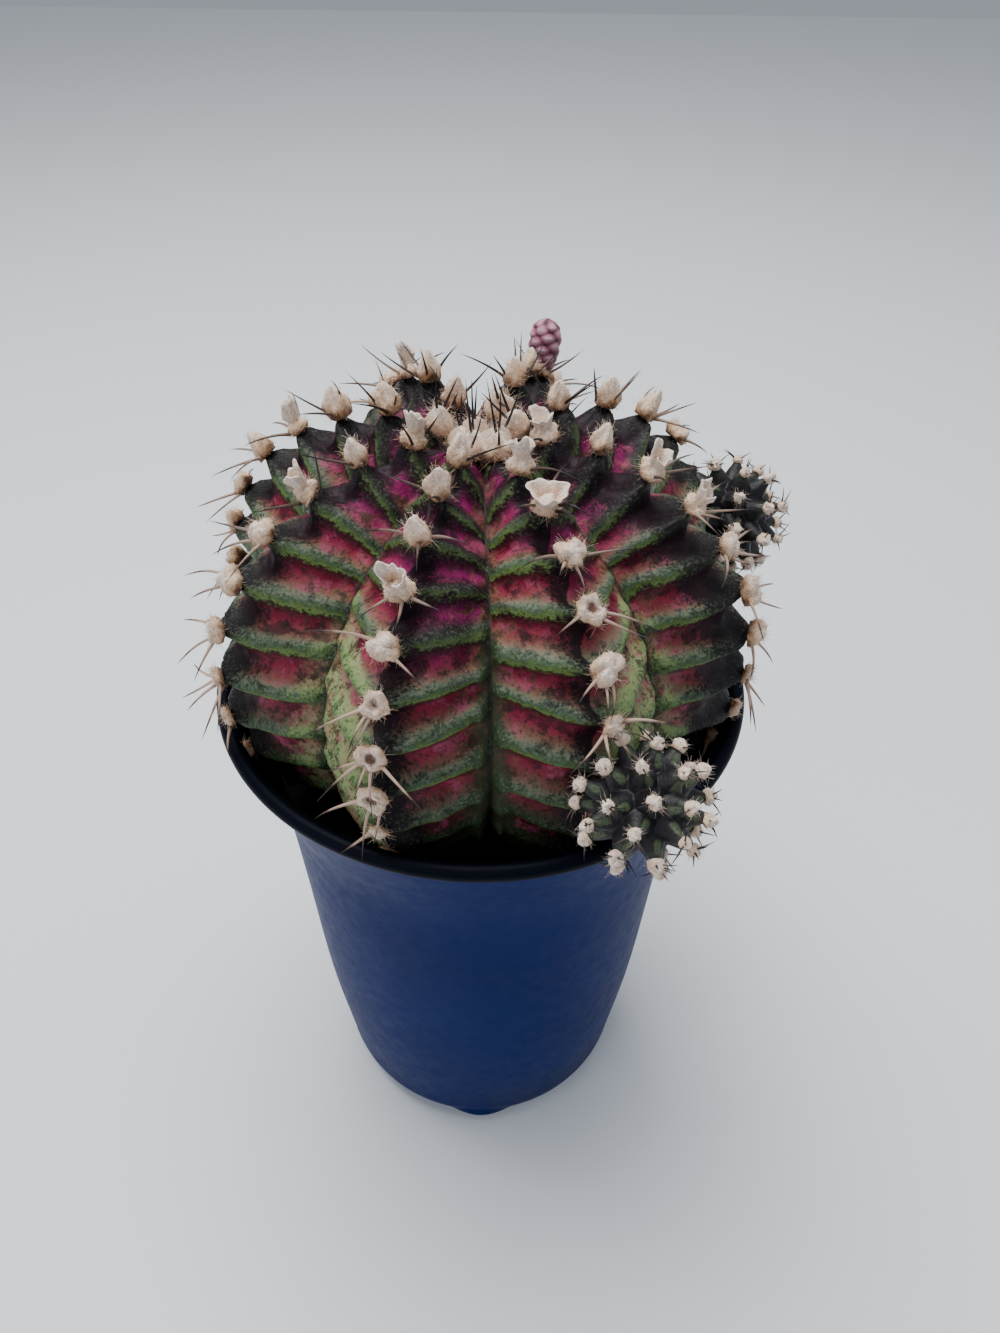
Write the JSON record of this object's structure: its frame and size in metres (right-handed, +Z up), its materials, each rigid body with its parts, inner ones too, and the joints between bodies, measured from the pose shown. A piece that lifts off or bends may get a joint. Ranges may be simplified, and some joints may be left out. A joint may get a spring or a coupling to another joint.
{
  "type": "potted cactus",
  "caption": "Ribbed globular cactus with woolly spined areoles, offsets and a flower bud, set in a deep tapered round nursery pot.",
  "frame": {"origin": "middle of the pot's flat underside, on the surface it stands on", "axes": "+Z up along the pot's axis; -Y is the front, the side of the lower offset; +X to the right seen from the front"},
  "size_m": [0.0975, 0.0946, 0.151],
  "materials": {
    "pot_plastic": "satin moulded polypropylene, navy, darker at the rim",
    "potting_mix": "loose dark peat and bark crumbs, damp",
    "stem_skin": "waxy living skin, crimson hollows between grey-green cross bands",
    "offset_skin": "waxy living skin, green-black, pale green on the knob edges",
    "areole_wool": "cream felted hair with tan spines",
    "bud_scales": "matt pink overlapping scales"
  },
  "bodies": {
    "root": {"areole_rib1_no1": "areole_wool", "areole_rib1_no2": "areole_wool", "areole_rib1_no3": "areole_wool", "areole_rib1_no4": "areole_wool", "areole_rib2_no1": "areole_wool", "areole_rib2_no2": "areole_wool", "areole_rib2_no3": "areole_wool", "areole_rib2_no4": "areole_wool", "areole_rib2_no5": "areole_wool", "areole_rib2_no6": "areole_wool", "areole_rib3_no1": "areole_wool", "areole_rib3_no2": "areole_wool", "areole_rib3_no3": "areole_wool", "areole_rib4_no1": "areole_wool", "areole_rib4_no3": "areole_wool", "areole_rib4_no4": "areole_wool", "areole_rib4_no5": "areole_wool", "areole_rib4_no6": "areole_wool", "areole_rib5_no1": "areole_wool", "areole_rib5_no2": "areole_wool", "areole_rib5_no3": "areole_wool", "areole_rib5_no4": "areole_wool", "areole_rib5_no5": "areole_wool", "areole_rib5_no6": "areole_wool", "areole_rib6_no1": "areole_wool", "areole_rib6_no2": "areole_wool", "areole_rib6_no3": "areole_wool", "areole_rib6_no4": "areole_wool", "areole_rib6_no5": "areole_wool", "areole_rib6_no6": "areole_wool", "areole_rib7_no1": "areole_wool", "areole_rib7_no2": "areole_wool", "areole_rib7_no3": "areole_wool", "areole_rib7_no4": "areole_wool", "areole_rib7_no5": "areole_wool", "areole_rib7_no6": "areole_wool", "areole_rib8_no1": "areole_wool", "areole_rib8_no2": "areole_wool", "areole_rib8_no3": "areole_wool", "areole_rib8_no4": "areole_wool", "areole_rib8_no5": "areole_wool", "areole_rib8_no6": "areole_wool", "crown_wool": "areole_wool", "flower_bud": "bud_scales", "offset_back": "offset_skin", "offset_front": "offset_skin", "pot": "pot_plastic", "potting_mix": "potting_mix", "stem": "stem_skin"}
  },
  "joints": []
}
